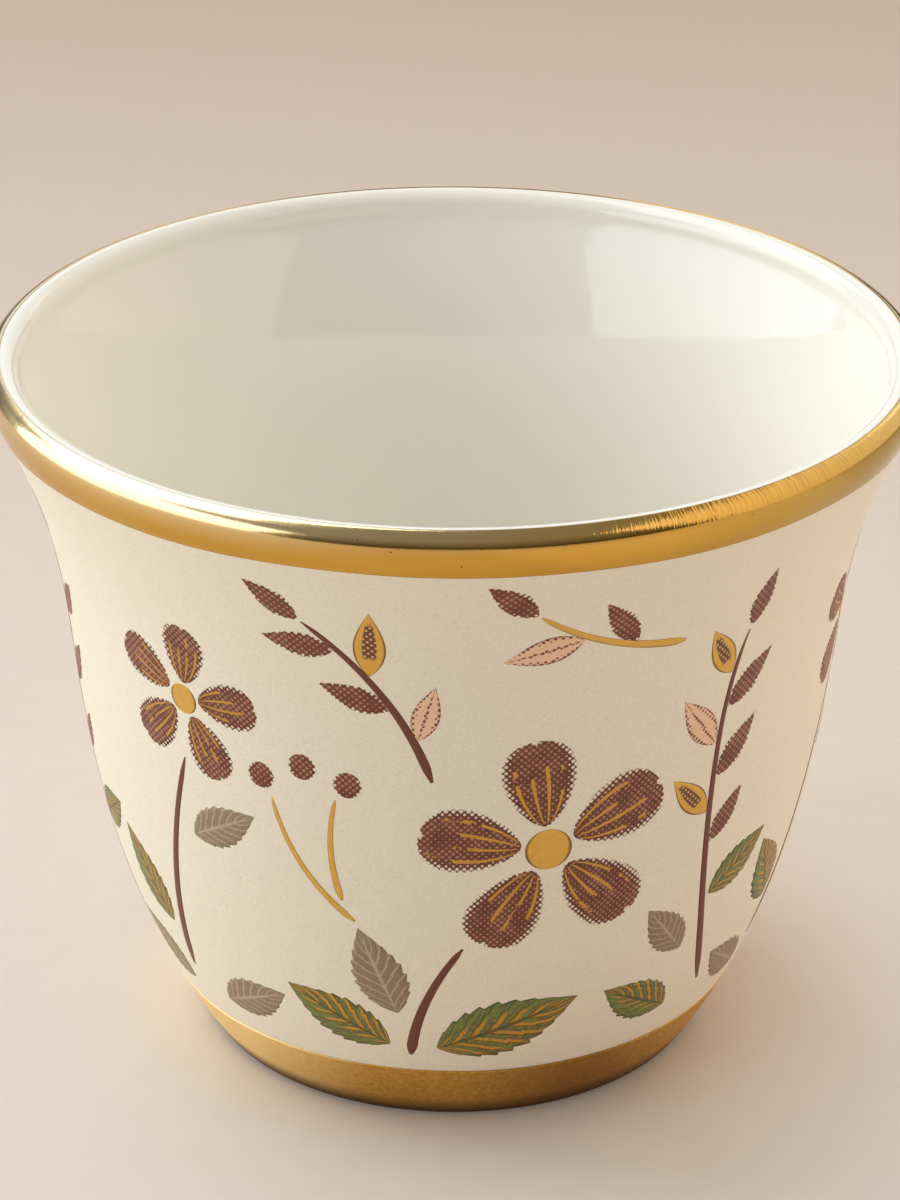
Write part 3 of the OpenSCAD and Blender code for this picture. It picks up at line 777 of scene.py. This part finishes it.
# Peach enamel: half gloss and even, with a dotted outline
peach_enamel, add = material("screen-printed peach enamel")
dot = screen(add, add("UVMap", uv_map="sheet"), 0.34)
across = across_and_along(add)[1]
edge = add("Math", [add("MapRange", [across, 0.55, 0.95]), add("MapRange", [across, 0.18, 0.04])],
           operation="MAXIMUM")
dotted = add("Math", [dot, add("MapRange", [edge, 0.0, 1.0, 1.0, 0.15])], operation="GREATER_THAN")
dotted = add("Math", [dotted, add("MapRange", [edge, 0.05, 0.3])], operation="MULTIPLY")
inked = add("Mix", {0: dotted, 6: linear("#F0C7A2"), 7: linear("#8A4B3D")}, 2, data_type="RGBA")
shader = add("BsdfPrincipled", {"Base Color": inked, "Roughness": 0.42, "IOR": 1.5})
add("OutputMaterial", [shader], None)
fire(peach, "peach_print", peach_enamel, "peach_enamel")


# Print: gold
# Gold printed through a screen, not brushed: duller than the bands, with a thin dark outline.
# It fills the blossoms' centres, some buds and the finest stems.
gold = Enamel()
for place, size, turn in BLOSSOMS:
    gold.lay(round_shape(CENTRE_D * size), place)
lay_stems(gold, [((-0.19, 0.42), 30, 0.26, -40, 0.8), ((-0.15, 0.46), 0, 0.2, -30, 0.8)])
lay_sprays(gold, "g")
# Printed gold: half metal and half matt, since its grains of gold lie in a glassy binder
printed_gold, add = material("screen-printed gold")
sheet = add("UVMap", uv_map="sheet")
dot = screen(add, sheet, 0.36)
signed, across, along = across_and_along(add)
grain = add("TexNoise", {"Vector": sheet, "Scale": 1 / 0.5, "Detail": 3.0})
inked = add("Mix", {0: grain, 6: linear("#D8A240"), 7: linear("#EABB5C")}, 2, data_type="RGBA")
outline = add("MapRange", [across, 0.84, 0.92, 0.0, 0.7])
inked = add("Mix", {0: outline, 6: inked, 7: linear("#5A3420")}, 2, data_type="RGBA")
# A bud holds a heart of maroon dots
heart = add("MapRange", [add("Attribute", out="Fac", attribute_name="kind"), 0.2, 0.3])
for limit in (add("MapRange", [across, 0.5, 0.4]), add("MapRange", [along, 0.24, 0.3]),
              add("MapRange", [along, 0.84, 0.78])):
    heart = add("Math", [heart, limit], operation="MULTIPLY")
dotted = add("Math", [heart, add("MapRange", [dot, 0.75, 0.6])], operation="MULTIPLY")
inked = add("Mix", {0: dotted, 6: inked, 7: linear("#6B3A30")}, 2, data_type="RGBA")
relief = add("Bump", {"Height": grain, "Strength": 0.3, "Distance": 0.04 * MM})
shader = add("BsdfPrincipled", {
    "Base Color": inked, "Metallic": add("MapRange", [heart, 0.0, 1.0, 0.6, 0.0]), "Roughness": 0.36,
    "Normal": relief})
add("OutputMaterial", [shader], None)
fire(gold, "gold_print", printed_gold, "gold_enamel")


# Floor, light and camera
# Pale pinkish paper under the cup, one large soft box at its left, a cool one low behind it and a
# warm card at its right, in an otherwise dim room.
# Metres from the cup to the edges of the paper
FLOOR_REACH = 3.0
corners = [(-1, -1, 0), (1, -1, 0), (1, 1, 0), (-1, 1, 0)]
floor_mesh = bpy.data.meshes.new("paper_floor")
floor_mesh.from_pydata((np.array(corners) * FLOOR_REACH).tolist(), [], [(0, 1, 2, 3)])
floor = bpy.data.objects.new("paper_floor", floor_mesh)
bpy.context.collection.objects.link(floor)
# Paper: matt, with a faint cloud of fibres
paper, add = material("pale pink paper")
spot = add("TexCoord", out="Object")
x, y, z = add("SeparateXYZ", [spot], None)
fibre = add("TexNoise", {"Vector": spot, "Scale": 1 / (3.33 * MM), "Detail": 4.0})
tone = add("Mix", {0: fibre, 6: linear("#DFD2C6"), 7: linear("#E6DACE")}, 2, data_type="RGBA")
# The paper runs out of the light behind the cup, so it is drawn a little darker there
away = add("MapRange", [y, -10 * MM, 280 * MM])
tone = add("Mix", {0: away, 6: tone, 7: linear("#B49F8C")}, 2, data_type="RGBA")
# It is painted lighter at the front right: painted light past the cup's shadow
painted_light_front_right = add("Math", [add("MapRange", [x, 18 * MM, 34 * MM]), add("MapRange", [y, 30 * MM, 0.0])],
           operation="MULTIPLY")
tone = add("Mix", {0: painted_light_front_right, 6: tone, 7: linear("#F4EAE3")}, 2, data_type="RGBA")
add("OutputMaterial", [add("BsdfPrincipled", {"Base Color": tone, "Roughness": 0.9})], None)
floor.data.materials.append(paper)

CUP_MIDDLE = np.array([0, 0, 0.03])


def soft_box(name, place, width, height, watts, colour):
    """A flat lamp, sizes in metres, that faces the middle of the cup."""
    light = bpy.data.lights.new(name, "AREA")
    light.shape, light.size, light.size_y = "RECTANGLE", width, height
    light.energy, light.color = watts, colour
    lamp = bpy.data.objects.new(name, light)
    lamp.location = place
    x, y, z = np.array(place) - CUP_MIDDLE
    lamp.rotation_euler = (math.atan2(math.hypot(x, y), z), 0, math.atan2(y, x) + math.pi / 2)
    bpy.context.collection.objects.link(lamp)


soft_box("left_soft_box", (-0.70, -0.078, 0.27), 1.24, 0.57, watts=4.95, colour=(0.88, 0.95, 1.0))
soft_box("back_left_panel", (-0.454, 0.318, 0.739), 0.9, 0.6, watts=4.6, colour=(0.95, 0.97, 1.0))
soft_box("back_window", (0.1, 1.0, 0.42), 1.0, 0.5, watts=1.45, colour=(0.86, 0.94, 1.0))
soft_box("right_card", (0.646, 0.137, 0.42), 1.57, 0.97, watts=5.2, colour=(1.0, 0.86, 0.71))

world = bpy.data.worlds.new("dim room")
bpy.context.scene.world = world
world.use_nodes = True
world.node_tree.nodes.clear()
add = node_adder(world.node_tree)
# The room is lighter overhead than at the level of the table
above = add("MapRange", [add("SeparateXYZ", [add("TexCoord", out="Generated")], 2), 0.0, 0.7])
room = add("Mix", {0: above, 6: linear("#504B45"), 7: linear("#999997")}, 2, data_type="RGBA")
# The camera itself sees a pale wall beyond the paper
seen = add("LightPath", out="Is Camera Ray")
room = add("Mix", {0: seen, 6: room, 7: linear("#DDCFC2")}, 2, data_type="RGBA")
add("OutputWorld", [add("Background", [room])], None)

# Camera of 135 mm, 0.34 m away and 25 degrees above the cup, as the photograph's outline gives
LENS, DISTANCE, DOWN, ROLL = 135.0, 0.3357, math.radians(25.23), math.radians(0.207)
AIM_H, SHIFT = 0.03317, -0.0093
camera = bpy.data.objects.new("camera", bpy.data.cameras.new("camera"))
camera.data.lens, camera.data.sensor_width, camera.data.shift_x = LENS, 36.0, SHIFT
camera.data.clip_start, camera.data.clip_end = 0.01, 20
camera.location = (0, -DISTANCE * math.cos(DOWN), AIM_H + DISTANCE * math.sin(DOWN))
camera.rotation_euler = (math.pi / 2 - DOWN, -ROLL, 0)
bpy.context.collection.objects.link(camera)
bpy.context.scene.camera = camera
bpy.context.scene.view_settings.view_transform = "Standard"
